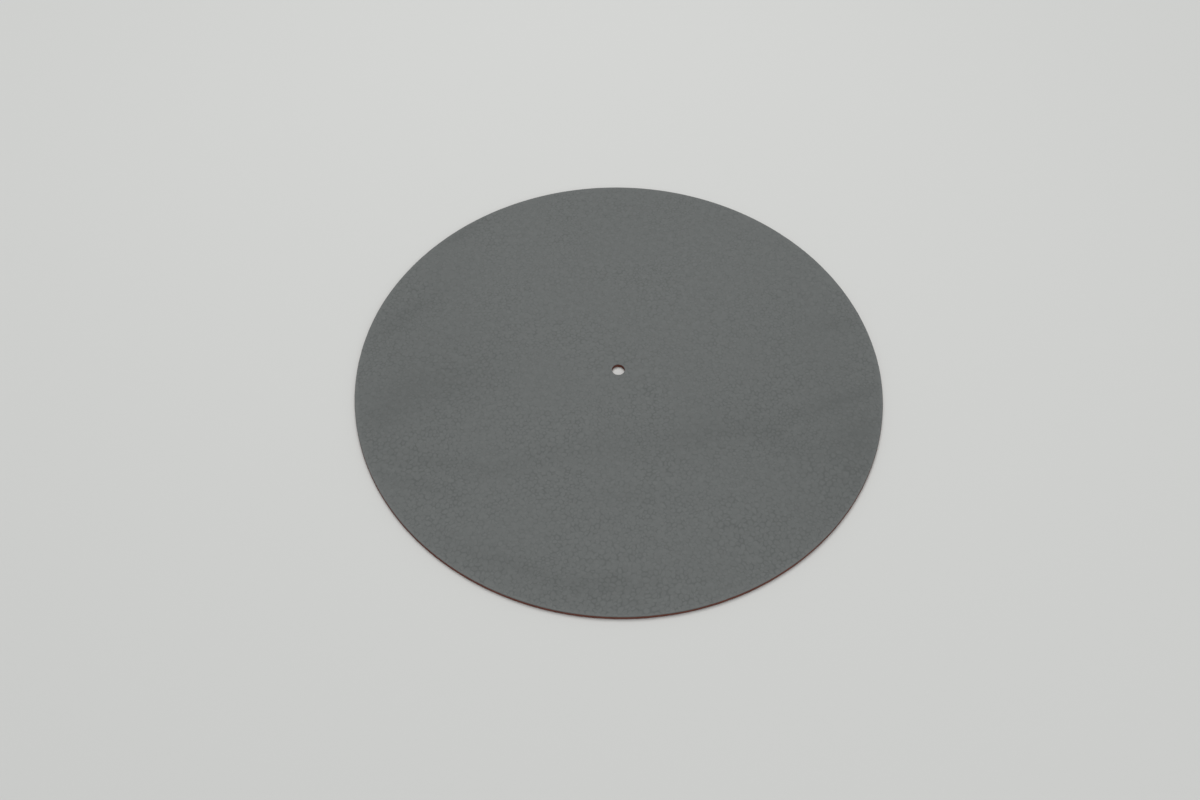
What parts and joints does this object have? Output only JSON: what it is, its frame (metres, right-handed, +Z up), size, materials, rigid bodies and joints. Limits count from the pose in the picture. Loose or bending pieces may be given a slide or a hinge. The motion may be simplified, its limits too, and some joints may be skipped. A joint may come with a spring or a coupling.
{
  "type": "turntable platter mat",
  "caption": "Round leather platter mat: pebbled grey grain side, raw red-brown cut edge and flesh side, and a punched centre hole for the spindle.",
  "frame": {"origin": "middle of the underside, on the spindle's axis", "axes": "+Z up through the hole, from the flesh side that lies on the platter to the grain side that carries the record; +X and +Y lie in the mat's plane"},
  "size_m": [0.3, 0.3, 0.0025],
  "materials": {
    "leather": "dull pigmented pebble grain on top, raw red-brown fibres on the cut edge and underside"
  },
  "bodies": {
    "root": {"platter_mat": "leather"}
  },
  "joints": []
}
